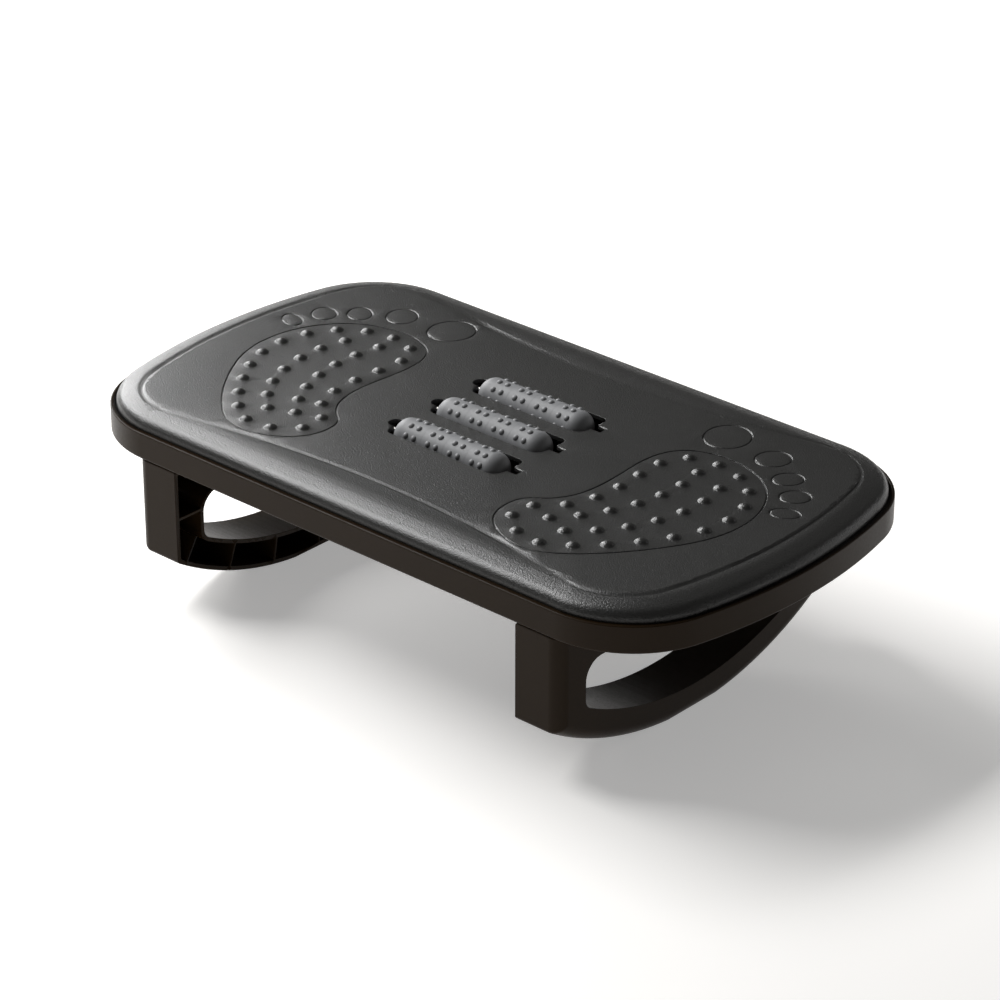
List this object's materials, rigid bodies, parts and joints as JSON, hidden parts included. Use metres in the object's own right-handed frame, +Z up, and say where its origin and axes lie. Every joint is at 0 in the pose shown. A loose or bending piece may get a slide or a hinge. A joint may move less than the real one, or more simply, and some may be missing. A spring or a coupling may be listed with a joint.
{
  "type": "tilting footrest",
  "caption": "Under-desk footrest with a studded foot-outline deck, free-turning massage rollers and rocker legs",
  "frame": {"origin": "on the floor below the middle of the deck, with the deck level", "axes": "+X along the deck's length, +Y away from the seated person, +Z up"},
  "size_m": [0.451, 0.2516, 0.1229],
  "materials": {
    "deck_plastic": "fine-grained satin charcoal plastic",
    "frame_plastic": "satin black plastic",
    "roller_plastic": "soft mid-grey plastic",
    "bright_steel": "bright drawn steel"
  },
  "bodies": {
    "deck": {"top_plate": "deck_plastic", "base_tray": "frame_plastic", "left_leg": "frame_plastic", "right_leg": "frame_plastic", "front_axle": "bright_steel", "middle_axle": "bright_steel", "rear_axle": "bright_steel", "deck_screws": "bright_steel", "left_leg_screws": "bright_steel", "right_leg_screws": "bright_steel"},
    "front_roller": {"front_roller_drum": "roller_plastic", "front_roller_left_cap": "roller_plastic", "front_roller_right_cap": "roller_plastic"},
    "middle_roller": {"middle_roller_drum": "roller_plastic", "middle_roller_left_cap": "roller_plastic", "middle_roller_right_cap": "roller_plastic"},
    "rear_roller": {"rear_roller_drum": "roller_plastic", "rear_roller_left_cap": "roller_plastic", "rear_roller_right_cap": "roller_plastic"}
  },
  "joints": [
    {"name": "front_roller_spin", "type": "hinge", "parent": "deck", "child": "front_roller", "pos_m": [-0.0025, -0.0318, 0.1112], "axis": [1, 0, 0], "continuous": true},
    {"name": "middle_roller_spin", "type": "hinge", "parent": "deck", "child": "middle_roller", "pos_m": [-0.0025, 0.0034, 0.1112], "axis": [1, 0, 0], "continuous": true},
    {"name": "rear_roller_spin", "type": "hinge", "parent": "deck", "child": "rear_roller", "pos_m": [-0.0025, 0.0386, 0.1112], "axis": [1, 0, 0], "continuous": true}
  ]
}
